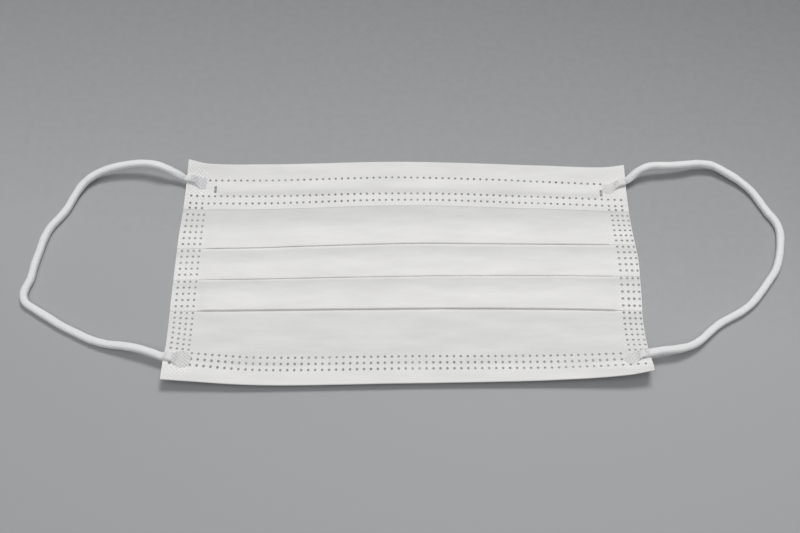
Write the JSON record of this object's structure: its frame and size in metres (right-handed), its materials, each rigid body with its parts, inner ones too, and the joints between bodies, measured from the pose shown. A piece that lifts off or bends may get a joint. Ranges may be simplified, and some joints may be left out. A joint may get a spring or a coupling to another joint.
{
  "type": "surgical face mask",
  "caption": "Pleated cloth face mask folded flat, with a nose hem over a wire channel, a chin hem, fused side bands and elastic ear loops lying spread out at both sides.",
  "frame": {"origin": "under the middle of the mask, on the surface that it lies on", "axes": "+X along the nose edge towards the right ear loop as seen from above, +Y from the chin edge to the nose edge, +Z out of the outer face"},
  "size_m": [0.2901, 0.0957, 0.0087],
  "materials": {
    "cloth": "matt white nonwoven",
    "weld": "pressed and fused, slightly smooth",
    "cord": "matt knitted elastic",
    "wire": "white coating"
  },
  "bodies": {
    "root": {"pleated_panel": "cloth", "nose_hem": "cloth", "chin_hem": "cloth", "nose_wire": "wire", "loop_weld_nose_left": "weld", "loop_weld_nose_right": "weld", "loop_weld_chin_left": "weld", "loop_weld_chin_right": "weld", "ear_loop_left": "cord", "ear_loop_right": "cord"}
  },
  "joints": []
}
